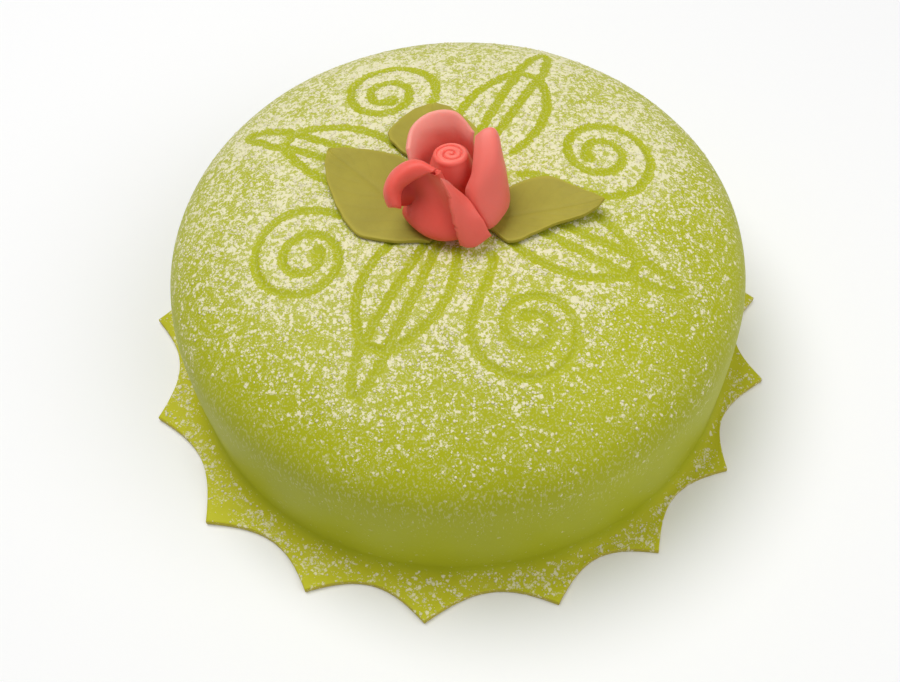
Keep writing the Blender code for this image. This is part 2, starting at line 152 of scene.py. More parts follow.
camera = make_camera()
print("camera at", [round(v, 3) for v in camera.location])

# %% [markdown]
# ## Floor and light
#
# Food of this kind is shown on plain white under broad soft light. A large flat floor stands
# for the table. One wide lamp above and a little to the left gives the soft shading, a weaker
# one in front on the right opens the shadows, and a dim even surrounding does the rest. The
# white floor throws much light back at the side, so the surrounding has to stay dim.

# %% Floor
FLOOR_SIZE = 6.0


def make_floor():
    mesh = bpy.data.meshes.new("floor")
    half = FLOOR_SIZE / 2
    mesh.from_pydata([(-half, -half, 0), (half, -half, 0), (half, half, 0), (-half, half, 0)], [],
                     [(0, 1, 2, 3)])
    floor = bpy.data.objects.new("floor", mesh)
    bpy.context.collection.objects.link(floor)
    material = bpy.data.materials.new("pale_floor")
    material.use_nodes = True
    shader = material.node_tree.nodes["Principled BSDF"]
    shader.inputs["Base Color"].default_value = (0.94, 0.94, 0.94, 1)
    shader.inputs["Roughness"].default_value = 0.7
    mesh.materials.append(material)
    return floor


floor = make_floor()
print("floor", FLOOR_SIZE, "m wide")


# %% Lamps and surrounding
def make_lamp(name, place, size, power):
    data = bpy.data.lights.new(name, "AREA")
    data.shape = "DISK"
    data.size = size
    data.energy = power
    lamp = bpy.data.objects.new(name, data)
    bpy.context.collection.objects.link(lamp)
    lamp.location = place
    lamp.rotation_euler = Vector(place).to_track_quat("Z", "Y").to_euler()
    return lamp


WORLD_STRENGTH = 0.25
make_lamp("window", (-0.35, 0.3, 1.5), 1.1, 17.0)
make_lamp("fill", (0.9, -0.5, 1.2), 1.4, 8.0)
world = bpy.data.worlds.new("studio")
world.use_nodes = True
world.node_tree.nodes["Background"].inputs["Color"].default_value = (1.0, 1.0, 1.0, 1)
world.node_tree.nodes["Background"].inputs["Strength"].default_value = WORLD_STRENGTH
bpy.context.scene.world = world
bpy.context.scene.view_settings.view_transform = "Standard"

# %% [markdown]
# ## The pressed ornament
#
# The pattern was pressed into the marzipan before the sugar went on: four leaf motifs that
# point outward and four scrolls between them. A stroke is a row of points in the plane. A
# leaf motif is made of smooth curves between a few corners, and a scroll is a spiral that
# shrinks by the same share each turn. Each is drawn once along +X and then placed by its
# turn, since hand work never repeats it exactly.

# %% Smooth curves between corners
def bezier(start, pull_start, pull_end, end, steps):
    points = []
    for i in range(steps + 1):
        t = i / steps
        s = 1.0 - t
        weights = (s ** 3, 3 * s * s * t, 3 * s * t * t, t ** 3)
        corners = (start, pull_start, pull_end, end)
        points.append(tuple(sum(w * c[k] for w, c in zip(weights, corners)) for k in (0, 1)))
    return points


def place(stroke, x, y, turn):
    c, s = math.cos(turn), math.sin(turn)
    return [(x + c * px - s * py, y + s * px + c * py) for px, py in stroke]


arch = bezier((0, 0), (0, 1), (1, 1), (1, 0), 4)
print("an arch of 4 steps:", [tuple(round(v, 2) for v in point) for point in arch])

# %% Leaf motif and scroll
ORNAMENT_CENTRE = (1.0 * MM, 3.5 * MM)
LEAF_MOTIFS = ((-115.0, 89.9, 1.0), (151.2, 92.4, 0.92), (64.7, 91.3, 1.0), (-28.0, 90.6, 0.95))
SCROLLS = ((25.0, -55.0, -67.7, 1.0), (-54.0, -20.0, -156.9, 1.0),
           (-24.0, 59.0, 114.2, 0.92), (56.0, 22.0, 18.6, 1.0))
SCROLL_RADIUS = 21.5 * MM
SCROLL_SHRINK = 0.82
SCROLL_TURNS = 1.75
SCROLL_DOT = 1.2 * MM


def leaf_motif_strokes(length, width):
    waist = length * 0.78
    side = 15.0 * MM * width
    upper = bezier((24 * MM, 0.7 * side), (42 * MM, 1.25 * side), (58 * MM, 0.9 * side),
                   (waist, 0.24 * side), 20)
    lower = bezier((27 * MM, -0.8 * side), (44 * MM, -1.3 * side), (58 * MM, -1.1 * side),
                   (waist, -0.4 * side), 20)
    vein_high = [(23 * MM, 0.2 * side), (45 * MM, 0.25 * side), (waist, 0.2 * side)]
    vein_low = [(23 * MM, -0.07 * side), (45 * MM, -0.25 * side), (waist, -0.36 * side)]
    bar = [(waist, 0.24 * side), (waist, -0.4 * side)]
    loop = bezier((waist, 0.24 * side), (length * 1.05, 0.15 * side),
                  (length * 1.05, -0.25 * side), (waist, -0.4 * side), 24)
    return [upper, lower, vein_high, vein_low, bar, loop]


def scroll_strokes(size):
    radius = SCROLL_RADIUS * size
    tail = bezier((-1.5 * radius, 0.0), (-1.0 * radius, -0.1 * radius),
                  (-0.75 * radius, -radius), (0.0, -radius), 20)
    steps = 90
    for i in range(1, steps + 1):
        turns = SCROLL_TURNS * i / steps
        shrunk = radius * math.exp(-SCROLL_SHRINK * turns)
        angle = 2 * math.pi * turns - math.pi / 2
        tail.append((shrunk * math.cos(angle), shrunk * math.sin(angle)))
    end_x, end_y = tail[-1]
    dot = [(end_x + SCROLL_DOT * math.cos(math.pi * i / 8), end_y + SCROLL_DOT * math.sin(math.pi * i / 8))
           for i in range(17)]
    return [tail, dot]


def ornament_strokes():
    strokes = []
    for turn, length, width in LEAF_MOTIFS:
        for stroke in leaf_motif_strokes(length * MM, width):
            strokes.append(place(stroke, *ORNAMENT_CENTRE, math.radians(turn)))
    for x, y, turn, size in SCROLLS:
        for stroke in scroll_strokes(size):
            strokes.append(place(stroke, x * MM, y * MM, math.radians(turn)))
    return strokes


strokes = ornament_strokes()
print(len(strokes), "strokes")

# %% [markdown]
# ## Depth of the grooves
#
# Where the stamp pressed, the surface sinks by most of a millimetre, with soft sides. To know
# how deep a point lies, the strokes are laid out as closely spaced points in a tree that finds
# the nearest one quickly. The depth then falls off with the distance from it, and so does the
# bare band that a groove leaves in the sugar.

# %% Distance to the nearest stroke
GROOVE_WIDTH = 3.6 * MM
GROOVE_DEPTH = 0.7 * MM
STROKE_STEP = 0.4 * MM
FAR = 1.0                      # stands for no stroke near


def stroke_tree(strokes):
    spots = []
    for stroke in strokes:
        for a, b in zip(stroke, stroke[1:]):
            parts = max(1, round(math.dist(a, b) / STROKE_STEP))
            spots += [Vector((*a, 0)).lerp(Vector((*b, 0)), k / parts) for k in range(parts + 1)]
    tree = kdtree.KDTree(len(spots))
    for number, spot in enumerate(spots):
        tree.insert(spot, number)
    tree.balance()
    return tree, len(spots)


grooves, spot_count = stroke_tree(strokes)


def stroke_gap(x, y):
    return grooves.find(Vector((x, y, 0)))[2]


def groove_share(gap):
    """1 on the floor of a groove, 0 beside it."""
    return 0.5 + 0.5 * math.cos(math.pi * min(1.0, gap / (GROOVE_WIDTH / 2)))


print(spot_count, "points along the grooves")

# %% [markdown]
# ## The marzipan sheet
#
# Rolled marzipan drapes like thick cloth: level on top, round over the shoulder, slightly
# tucked in at the foot, then out flat to a cut edge. One profile from the top of the dome to
# the middle of the underside, spun round the axis, gives all of it. Only the skirt departs
# from a circle, so its rings are stretched out to the scallops. A grid of rings and columns
# keeps the mesh even, and slow noise adds the small swells of a hand-laid sheet.

# %% Outline of the skirt
SCALLOP_COLUMNS = 32


def skirt_outline():
    outline = []
    for i, (start, reach) in enumerate(SKIRT_POINTS):
        end, next_reach = SKIRT_POINTS[(i + 1) % len(SKIRT_POINTS)]
        span = (end - start) % 360.0
        for k in range(SCALLOP_COLUMNS):
            t = k / SCALLOP_COLUMNS
            inset = SCALLOP_DIP * 4 * t * (1 - t)
            outline.append((math.radians(start + span * t),
                            (reach + (next_reach - reach) * t) * MM - inset))
    return outline


outline = skirt_outline()
print(len(outline), "columns round the cake")

# %% Profile of the dome and side
FINE_REACH = 97.0 * MM         # the ornament lies inside this radius
FINE_STEP = 0.62 * MM
COARSE_STEP = 1.3 * MM


def body_profile():
    """(radius, height) from near the apex down to the crease, in fine steps on the ornament."""
    exact = []
    for k in range(2001):
        reach = math.sin(k / 2000 * math.pi / 2)
        exact.append((BODY_RADIUS * reach, dome_height(BODY_RADIUS * reach, BODY_SHIFT_Y)))
    for k in range(1, 401):
        share = 1 - k / 400
        exact.append((BODY_RADIUS - (BODY_RADIUS - CREASE_RADIUS) * (1 - share) ** SIDE_POWER,
                      CREASE_Z + (SHOULDER_Z - CREASE_Z) * share))
    exact = np.array(exact)
    run = np.concatenate([[0], np.cumsum(np.hypot(*np.diff(exact, axis=0).T))])
    bend = np.interp(FINE_REACH, exact[:2001, 0], run[:2001])
    even = np.concatenate([np.arange(1, bend / FINE_STEP) * FINE_STEP,
                           np.linspace(bend, run[-1], round((run[-1] - bend) / COARSE_STEP))])
    return np.stack([np.interp(even, run, exact[:, 0]), np.interp(even, run, exact[:, 1])], 1)


profile = body_profile()
print(len(profile), "rings down to the crease")

# %% Rings of the skirt
# The marzipan sweeps out from the side in a quarter of an ellipse, runs flat to the cut edge,
# turns over it and runs back below. A ring is given by its place along one of those stretches.
SWEEP_RINGS = 10
FLAT_SHARES = (0.12, 0.3, 0.5, 0.68, 0.84, 0.94)
EDGE_RINGS = ((0.985, 2.72), (0.997, 2.45), (1.0, 1.9), (0.999, 0.9), (0.99, 0.2), (0.97, 0.0), (0.5, 0.0))


def cake_rings():
    angles = np.array([angle for angle, _ in outline])
    reach = np.array([reach for _, reach in outline])
    round_it = np.stack([np.cos(angles), np.sin(angles)], 1)
    middle = np.array([0.0, BODY_SHIFT_Y])
    inner, outer = CREASE_RADIUS * round_it + middle, reach[:, None] * round_it
    width = np.linalg.norm(outer - inner, axis=1)
    swept = np.minimum(FILLET_SHARE, FILLET / width)
    levels = []
    for k in range(1, SWEEP_RINGS + 1):
        turn = math.pi / 2 * k / SWEEP_RINGS
        levels.append((swept * (1 - math.cos(turn)), CREASE_Z - (CREASE_Z - SKIRT_EDGE) * math.sin(turn)))
    levels += [(swept + (0.97 - swept) * share, SKIRT_EDGE) for share in FLAT_SHARES]
    levels += [(np.full(len(angles), share), height * MM) for share, height in EDGE_RINGS]
    rings = []
    for radius, height in profile:
        rings.append(np.column_stack([radius * round_it + middle, np.full(len(angles), height)]))
    for share, height in levels:
        flat = inner + (outer - inner) * share[:, None]
        rings.append(np.column_stack([flat, np.full(len(angles), height)]))
    return np.array(rings)


rings = cake_rings()
print("grid of", rings.shape[0], "rings and", rings.shape[1], "columns")


# %% Press the ornament and let the sheet swell
SWELL = 0.35 * MM
SWELL_FROM = 10.0 * MM         # the swell has died out this far above the crease


def smoothstep(low, high, value):
    t = min(1.0, max(0.0, (value - low) / (high - low)))
    return t * t * (3 - 2 * t)


def press_and_swell(rings):
    """Moves the points of the side and top, and gives each point's distance to a stroke."""
    gaps = np.full(rings.shape[:2], FAR)
    for i in range(len(profile)):
        for j in range(rings.shape[1]):
            x, y, z = rings[i, j]
            swell = noise.noise(Vector((x, y, z)) * 28) * SWELL - SWELL
            outward = Vector((x, y - BODY_SHIFT_Y, z - 0.02)).normalized()
            rings[i, j] += outward * swell * smoothstep(CREASE_Z, CREASE_Z + SWELL_FROM, z)
            if z > SHOULDER_Z + 0.01:
                gaps[i, j] = stroke_gap(x, y)
                rings[i, j, 2] -= GROOVE_DEPTH * groove_share(gaps[i, j])
    return gaps


gaps = press_and_swell(rings)
print("share of the grid near a stroke:", round(float((gaps < GROOVE_WIDTH / 2).mean()), 3))

# %% [markdown]
# ## From grid to mesh
#
# A grid of points becomes a mesh by joining each point to its neighbours with quads. The grid
# closes round the cake, a fan of triangles closes the apex and another the underside. How far
# a point lies in a groove or on the cut edge goes along as an attribute, for the finish to read.

# %% Mesh helpers
def new_piece(name, points, faces, material=None):
    mesh = bpy.data.meshes.new(name)
    mesh.from_pydata([tuple(p) for p in points], [], faces)
    mesh.shade_smooth()
    if material:
        mesh.materials.append(material)
    piece = bpy.data.objects.new(name, mesh)
    bpy.context.collection.objects.link(piece)
    return piece


def add_values(piece, name, values):
    layer = piece.data.attributes.new(name, "FLOAT", "POINT")
    layer.data.foreach_set("value", np.asarray(values, dtype=np.float32))


def spun_faces(ring_count, column_count):
    faces = []
    for i in range(ring_count - 1):
        row, below = i * column_count, (i + 1) * column_count
        for j in range(column_count):
            k = (j + 1) % column_count
            faces.append((row + j, below + j, below + k, row + k))
    return faces


print("a spun grid of 3 rings and 4 columns has", len(spun_faces(3, 4)), "faces")

# %% Build the marzipan sheet
apex = Vector((0, BODY_SHIFT_Y, APEX_Z - SWELL))
underside = Vector((0, 0, 0))
columns = rings.shape[1]
points = [tuple(p + np.array(SHIFT)) for p in rings.reshape(-1, 3)]
points += [tuple(apex + SHIFT), tuple(underside + SHIFT)]
faces = spun_faces(rings.shape[0], columns)
last = rings.shape[0] * columns
faces += [(last, j, (j + 1) % columns) for j in range(columns)]
faces += [(last + 1, last - columns + (j + 1) % columns, last - columns + j) for j in range(columns)]
marzipan = new_piece("marzipan_sheet", points, faces)
point_gaps = np.append(gaps.reshape(-1), [FAR, FAR])
add_values(marzipan, "groove", [groove_share(gap) for gap in point_gaps])
first_cut = (len(rings) - len(EDGE_RINGS) + 1) * columns
add_values(marzipan, "cut", [float(number > first_cut) for number in range(len(points))])
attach(marzipan, "root")
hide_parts("cake")
print("marzipan sheet:", len(faces), "faces")

# %% [markdown]
# ## Where the sugar lies
#
# Icing sugar sifted from above settles on what faces up. It lies thickest behind and to the
# left, thins out to the front, almost ends over the shoulder, and gathers again on the skirt.
# The grooves stay bare, and a little more gathers beside them. The coverage is worked out
# once, as a share of 0 to 1, and both the painted specks and the modelled clumps follow it.

# %% Coverage of the sugar
BARE_FROM, BARE_TO = 1.6 * MM, 2.1 * MM     # half the bare band along a stroke, and its soft edge
BARE_WANDER = 0.3 * MM
COVER_IN_FRONT = 0.11
MORE_BEHIND = 0.43
BESIDE = 0.18                  # extra coverage just beside a groove
SKIRT_COVER = 0.27


def sugar_cover(x, y, z, gap):
    if z > SHOULDER_Z - 5 * MM:
        reach = math.hypot(x, y - BODY_SHIFT_Y) / BODY_RADIUS
        behind = smoothstep(-0.12, 0.09, y * 0.90 - x * 0.25)
        cover = COVER_IN_FRONT + MORE_BEHIND * behind
        cover *= 1.0 - smoothstep(0.80, 1.0, reach) * (0.80 - 0.40 * behind)
        cover *= smoothstep(46 * MM, 68 * MM, z)
        cover += 0.12 * noise.noise(Vector((x, y, 0.3)) * 45)
        cover += BESIDE * (1.0 - smoothstep(3 * MM, 15 * MM, gap))
        gap += BARE_WANDER * noise.noise(Vector((x, y, 0.1)) * 400)
        return max(0.0, cover) * smoothstep(BARE_FROM, BARE_TO, gap)
    if z > CREASE_Z - 2 * MM:
        return 0.0
    outward = math.hypot(x, y) / MM
    band = smoothstep(108.0, 113.0, outward) * (1.0 - 0.7 * smoothstep(117.0, 124.0, outward))
    return band * (SKIRT_COVER + 0.20 * noise.noise(Vector((x, y, 0.7)) * 60))


cover = [sugar_cover(*(np.array(p) - np.array(SHIFT)), gap) for p, gap in zip(points, point_gaps)]
add_values(marzipan, "sugar", cover)
print("mean coverage:", round(float(np.mean(cover)), 3))

# %% [markdown]
# ## Green marzipan
#
# Marzipan is ground almond and sugar paste: opaque but a little waxy, so light sinks in by a
# millimetre or two. Its colour wanders slightly, and its skin has a fine grain. The grooves are
# painted a shade darker, which is painted shade. Towards the foot the skirt is painted yellower
# and lighter: the yellow is the paste's own, the lightening is painted light where the side
# shades the skirt. Specks of sugar come from a cell pattern that gives each its middle and a
# random number, and a speck shows where that number is under the coverage. Blotches are noise
# above a threshold. Slower noise gathers both into clusters, and on the side the dust is drawn
# out into short upright streaks.

# %% Node helpers
def new_material(name):
    material = bpy.data.materials.new(name)
    material.use_nodes = True
    return material, material.node_tree, material.node_tree.nodes["Principled BSDF"]


def link(tree, source, target):
    tree.links.new(source, target)


def set_values(node, values):
    for name, value in values.items():
        node.inputs[name].default_value = value


def maths(tree, operation, a, b, clamp=False):
    node = tree.nodes.new("ShaderNodeMath")
    node.operation = operation
    node.use_clamp = clamp
    for socket, value in zip(node.inputs, (a, b)):
        if isinstance(value, (int, float)):
            socket.default_value = value
        else:
            link(tree, value, socket)
    return node.outputs[0]


def times(tree, value, factor):
    return maths(tree, "MULTIPLY", value, factor)


def vector_maths(tree, operation, *values):
    node = tree.nodes.new("ShaderNodeVectorMath")
    node.operation = operation
    for socket, value in zip(node.inputs, values):
        if isinstance(value, tuple):
            socket.default_value = value
        else:
            link(tree, value, socket)
    return node.outputs[0]


def remap(tree, value, low, high, to_low=0.0, to_high=1.0):
    node = tree.nodes.new("ShaderNodeMapRange")
    node.interpolation_type = "SMOOTHSTEP"
    link(tree, value, node.inputs["Value"])
    set_values(node, {"From Min": low, "From Max": high, "To Min": to_low, "To Max": to_high})
    return node.outputs["Result"]


def object_point(tree):
    return tree.nodes.new("ShaderNodeTexCoord").outputs["Object"]


def object_height(tree):
    node = tree.nodes.new("ShaderNodeSeparateXYZ")
    link(tree, object_point(tree), node.inputs[0])
    return node.outputs["Z"]


def noise_node(tree, point, scale, detail, roughness=0.5):
    node = tree.nodes.new("ShaderNodeTexNoise")
    set_values(node, {"Scale": scale, "Detail": detail, "Roughness": roughness})
    link(tree, point, node.inputs["Vector"])
    return node


def noise_value(tree, scale, detail=2.0, roughness=0.5):
    return noise_node(tree, object_point(tree), scale, detail, roughness).outputs["Fac"]


def mix_colours(tree, share, a, b):
    node = tree.nodes.new("ShaderNodeMix")
    node.data_type = "RGBA"
    link(tree, share, node.inputs[0])
    for socket, value in ((node.inputs[6], a), (node.inputs[7], b)):
        if isinstance(value, tuple):
            socket.default_value = (*value, 1.0)
        else:
            link(tree, value, socket)
    return node.outputs[2]


def mottled(tree, colour, shade, *noise_values):
    """The colour, wandering between itself and a darker shade."""
    share = remap(tree, noise_value(tree, *noise_values), 0.3, 0.7)
    return mix_colours(tree, share, colour, tuple(c * shade for c in colour))


def attribute_value(tree, name):
    node = tree.nodes.new("ShaderNodeAttribute")
    node.attribute_name = name
    return node.outputs["Fac"]


def bump(tree, shader, height, strength, distance):
    node = tree.nodes.new("ShaderNodeBump")
    set_values(node, {"Strength": strength, "Distance": distance})
    link(tree, height, node.inputs["Height"])
    link(tree, node.outputs["Normal"], shader.inputs["Normal"])


print("helpers ready")


# %% Specks and blotches of sugar as nodes
def speck_layer(tree, cover, scale, radius):
    """Round specks on a cell pattern, shown where the cell's random number is under the cover."""
    point = object_point(tree)
    wander = noise_node(tree, point, scale * 1.3, 1.0).outputs["Color"]
    moved = vector_maths(tree, "MULTIPLY_ADD", wander, (0.9 / scale,) * 3, point)
    cells = tree.nodes.new("ShaderNodeTexVoronoi")
    cells.inputs["Scale"].default_value = scale
    link(tree, moved, cells.inputs["Vector"])
    number = tree.nodes.new("ShaderNodeSeparateColor")
    link(tree, cells.outputs["Color"], number.inputs[0])
    shown = remap(tree, maths(tree, "SUBTRACT", cover, number.outputs["Red"]), -0.03, 0.05)
    size = maths(tree, "MULTIPLY_ADD", number.outputs["Green"], radius * 0.5)
    size.node.inputs[2].default_value = radius * 0.62
    inside = maths(tree, "DIVIDE", cells.outputs["Distance"], size)
    body = remap(tree, inside, 0.72, 1.12, 1.0, 0.0)
    return maths(tree, "MULTIPLY", shown, body, clamp=True)


BLOTCH_SPREAD = 0.30           # how far the noise strays from a half, so that half cover fills half


def blotch_layer(tree, cover, scale):
    """Joined uneven blotches: noise above a threshold that sinks as the cover grows."""
    threshold = times(tree, maths(tree, "SUBTRACT", 0.5, cover), BLOTCH_SPREAD)
    above = maths(tree, "SUBTRACT", noise_value(tree, scale, 3.0, 0.66), threshold)
    return remap(tree, above, 0.49, 0.52)


print("layers of sugar ready")

# %% Green marzipan with its sugar
GREEN_LIGHT = (0.43, 0.455, 0.012)
# The groove colour is painted shade: the floor of each groove is painted darker.
GREEN_GROOVE_SHADE = (0.36, 0.40, 0.010)
# The skirt colour is partly the yellower paste of the skirt and partly painted light, lighter where the side
# shades the skirt.
GREEN_SKIRT_YELLOW_AND_LIT = (0.53, 0.52, 0.020)
CUT_EDGE = (0.50, 0.40, 0.03)
SUGAR = (0.80, 0.755, 0.51)


def side_streaks(tree):
    """Short upright streaks, from noise that is drawn out along the height."""
    drawn = vector_maths(tree, "MULTIPLY", object_point(tree), (1.0, 1.0, 0.3))
    streak = noise_node(tree, drawn, 1300.0, 3.0).outputs["Fac"]
    height = object_height(tree)
    above = maths(tree, "ADD", streak, remap(tree, height, 30 * MM, 68 * MM, 0.0, 0.12))
    side = remap(tree, height, 24 * MM, 46 * MM)
    return maths(tree, "MULTIPLY", side, remap(tree, above, 0.62, 0.78, 0.0, 0.28))


def make_green():
    material, tree, shader = new_material("green_marzipan")
    paste = mottled(tree, GREEN_LIGHT, 0.93, 22.0, 4.0, 0.6)
    # Near the foot the paste turns yellower and lighter: a yellower skirt, plus painted light where the side
    # shades it.
    low = remap(tree, object_height(tree), 3 * MM, 9 * MM, 1.0, 0.0)
    # The groove share mixes in painted shade, darker on the floor of each groove.
    layers = ((times(tree, attribute_value(tree, "groove"), 0.35), GREEN_GROOVE_SHADE),
              (low, GREEN_SKIRT_YELLOW_AND_LIT),
              (side_streaks(tree), SUGAR),
              (times(tree, attribute_value(tree, "cut"), 0.7), CUT_EDGE))
    for share, colour in layers:
        paste = mix_colours(tree, share, paste, colour)
    cover = attribute_value(tree, "sugar")
    clusters = remap(tree, noise_value(tree, 260.0, 2.0, 0.6), 0.34, 0.66, -0.24, 0.24)
    spread = remap(tree, cover, 0.02, 0.12)
    local = maths(tree, "ADD", cover, times(tree, clusters, spread))
    coarse = times(tree, speck_layer(tree, times(tree, local, 0.6), 780.0, 0.64), 0.94)
    fine = times(tree, speck_layer(tree, times(tree, local, 0.9), 1500.0, 0.62), 0.5)
    blotches = times(tree, blotch_layer(tree, maths(tree, "SUBTRACT", local, 0.17), 640.0), 0.92)
    specks = maths(tree, "MAXIMUM", maths(tree, "MAXIMUM", coarse, fine), blotches)
    veil = remap(tree, cover, 0.2, 0.8, 0.0, 0.16)
    dusted = mix_colours(tree, veil, paste, SUGAR)
    link(tree, mix_colours(tree, specks, dusted, SUGAR), shader.inputs["Base Color"])
    link(tree, remap(tree, specks, 0.0, 1.0, 0.48, 0.9), shader.inputs["Roughness"])
    set_values(shader, {"Subsurface Weight": 0.12, "Subsurface Radius": (0.003, 0.0025, 0.001),
                        "Subsurface Scale": 0.6, "Specular IOR Level": 0.12})
    grain = times(tree, noise_value(tree, 900.0, 3.0), 0.25)
    bump(tree, shader, maths(tree, "ADD", specks, grain), 0.3, 0.0003)
    return material


green = make_green()
marzipan.data.materials.append(green)
print("green marzipan nodes:", len(green.node_tree.nodes))

# %% [markdown]
# ## Pieces of rolled marzipan
#
# Leaves and petals are cut from a rolled sheet, so each is two faces of one grid with an edge
# between them. The edge of a petal is pinched between the fingers and comes out round, and the
# edge of a leaf is cut. One helper makes both: it takes the middle surface as a function of
# two shares, sets two copies off to either side and closes them round the rim. Its rows lie
# closer towards the rim, where the edge turns.

# %% Smooth values between named ones
def curve_between(before, a, b, after, t):
    """From a to b as t goes from 0 to 1, aimed by their neighbours."""
    return a + 0.5 * t * (b - before + t * (2 * before - 5 * a + 4 * b - after
                                            + t * (3 * (a - b) + after - before)))


def smooth(values, share):
    reach = share * (len(values) - 1)
    k = min(int(reach), len(values) - 2)
    t = reach - k
    a, b = values[k], values[k + 1]
    before = values[k - 1] if k > 0 else a * 2 - b
    after = values[k + 2] if k + 2 < len(values) else b * 2 - a
    return curve_between(before, a, b, after, t)


def rim_share(step, steps):
    """0 to 1 in steps that shrink towards both ends."""
    return 0.5 - 0.5 * math.cos(math.pi * step / steps)


def grid_shares(columns, rows):
    """The two shares of each point of a sheet, in the order of the points."""
    return [(rim_share(i, columns), rim_share(j, rows)) for i in range(columns + 1)
            for j in range(rows + 1)]


print("halfway through 0, 1, 4:", smooth((0.0, 1.0, 4.0), 0.5))


# %% A sheet with two faces and a rim
BLUNT_RIM = 0.03               # keeps the very rim from closing to nothing
TINY = 1e-12                   # keeps a zero length from dividing


def turn_outward(piece):
    shape = bmesh.new()
    shape.from_mesh(piece.data)
    bmesh.ops.recalc_face_normals(shape, faces=shape.faces)
    shape.to_mesh(piece.data)
    shape.free()


def sheet_piece(name, surface, columns, rows, thickness, roundness, normal=None, lip=0.0):
    """surface takes two shares, 0 to 1. A high roundness leaves only the very edge round.

    lip makes the sheet thicker towards its last row, as a share of its thickness, and a
    negative lip makes it thinner there.
    """
    middle = np.array([[tuple(surface(rim_share(i, columns), rim_share(j, rows)))
                        for j in range(rows + 1)] for i in range(columns + 1)])
    if normal is None:
        side = np.cross(np.gradient(middle, axis=0), np.gradient(middle, axis=1))
        side /= np.linalg.norm(side, axis=2, keepdims=True) + TINY
    else:
        side = np.zeros_like(middle) + np.array(normal)
    across = np.array([abs(2 * rim_share(i, columns) - 1) for i in range(columns + 1)])
    along = np.array([abs(2 * rim_share(j, rows) - 1) for j in range(rows + 1)])
    edge = np.maximum(across[:, None], along[None, :]) ** roundness
    swollen = 1 + lip * np.clip(along, 0, 1)[None, :] ** 2 * (np.arange(rows + 1) > rows / 2)[None, :]
    half = (thickness / 2 * swollen * np.sqrt(np.maximum(BLUNT_RIM, 1 - edge ** 2)))[:, :, None]
    points = np.concatenate([(middle + side * half).reshape(-1, 3), (middle - side * half).reshape(-1, 3)])
    size = (columns + 1) * (rows + 1)
    faces = []
    for i in range(columns):
        for j in range(rows):
            a = i * (rows + 1) + j
            b, c, d = a + rows + 1, a + rows + 2, a + 1
            faces += [(a, b, c, d), (a + size, d + size, c + size, b + size)]
    rim = [(i, 0) for i in range(columns)] + [(columns, j) for j in range(rows)]
    rim += [(i, rows) for i in range(columns, 0, -1)] + [(0, j) for j in range(rows, 0, -1)]
    for k, (i, j) in enumerate(rim):
        m, n = rim[(k + 1) % len(rim)]
        a, b = i * (rows + 1) + j, m * (rows + 1) + n
        faces.append((a, a + size, b + size, b))
    piece = new_piece(name, points, faces)
    turn_outward(piece)
    return piece


print("steps of 4 shrink to the ends:", [round(rim_share(i, 4), 2) for i in range(5)])

# %% [markdown]
# ## Leaves
#
# Three leaves lie round the foot of the rose. They are pressed from olive marzipan, so their
# edges wander, stand a little off the cake and show their thickness. The outline follows half
# widths at named shares of the length. The surface carries a shallow middle vein, side veins
# that point to the tip, and the slow waves of a sheet that was lifted by hand.

# %% Shape of a leaf
GAP = 0.35 * MM
LEAF_THICKNESS = 1.8 * MM
LEAF_STATIONS = (0.0, 0.15, 0.35, 0.6, 0.8, 0.93, 1.0)
LEAVES = {
    "leaf_left": dict(foot=(-7.0, -17.5), tip=(-46.0, 28.0), wave=0.8, lift=0.4,
                      left=(3.0, 12.0, 19.0, 16.0, 10.5, 5.0, 0.5),
                      right=(6.0, 12.0, 17.5, 17.2, 11.3, 5.0, 0.5)),
    "leaf_right": dict(foot=(11.0, -11.0), tip=(54.0, -6.0), wave=0.9, lift=4.5,
                       left=(6.0, 11.0, 15.5, 15.8, 8.5, 3.5, 0.5),
                       right=(3.0, 11.0, 9.5, 6.2, 5.0, 3.0, 0.5)),
    "leaf_back": dict(foot=(-6.0, 12.0), tip=(-6.0, 48.5), wave=0.6, lift=0.3,
                      left=(2.0, 6.0, 13.0, 17.5, 12.5, 7.0, 1.0),
                      right=(6.0, 13.0, 18.0, 16.5, 11.5, 6.5, 1.0)),
}


def half_width(widths, along):
    for k in range(len(LEAF_STATIONS) - 1):
        if along <= LEAF_STATIONS[k + 1]:
            break
    t = (along - LEAF_STATIONS[k]) / (LEAF_STATIONS[k + 1] - LEAF_STATIONS[k])
    before = widths[max(0, k - 1)]
    after = widths[min(len(widths) - 1, k + 2)]
    return max(0.5, curve_between(before, widths[k], widths[k + 1], after, t)) * MM


EDGE_WANDER = 0.02


def leaf_point(leaf, along, across):
    foot, tip = Vector(leaf["foot"]) * MM, Vector(leaf["tip"]) * MM
    run = tip - foot
    sideways = Vector((-run.y, run.x)).normalized()
    width = half_width(leaf["left"] if across > 0 else leaf["right"], along)
    width *= 1.0 - EDGE_WANDER * (1.0 + noise.noise(Vector((along * 14, across, foot.x * 400))))
    at = foot + run * along + sideways * (across * width)
    ripple = 0.5 + 0.5 * math.sin(9.0 * along + 2.0 * across)
    rise = leaf["wave"] * MM * ripple * across * across * along + leaf["lift"] * MM * along ** 3
    return Vector((at.x, at.y, dome_height(at.x, at.y) + GAP + LEAF_THICKNESS / 2 + rise))


print("half width of the left leaf at its middle:",
      round(half_width(LEAVES["leaf_left"]["left"], 0.5) / MM, 1), "mm")

# %% Olive marzipan
OLIVE = (0.385, 0.33, 0.038)
# The rim colour is a painted highlight along the rounded rim of a leaf.
OLIVE_EDGE_HIGHLIGHT = (0.42, 0.36, 0.040)


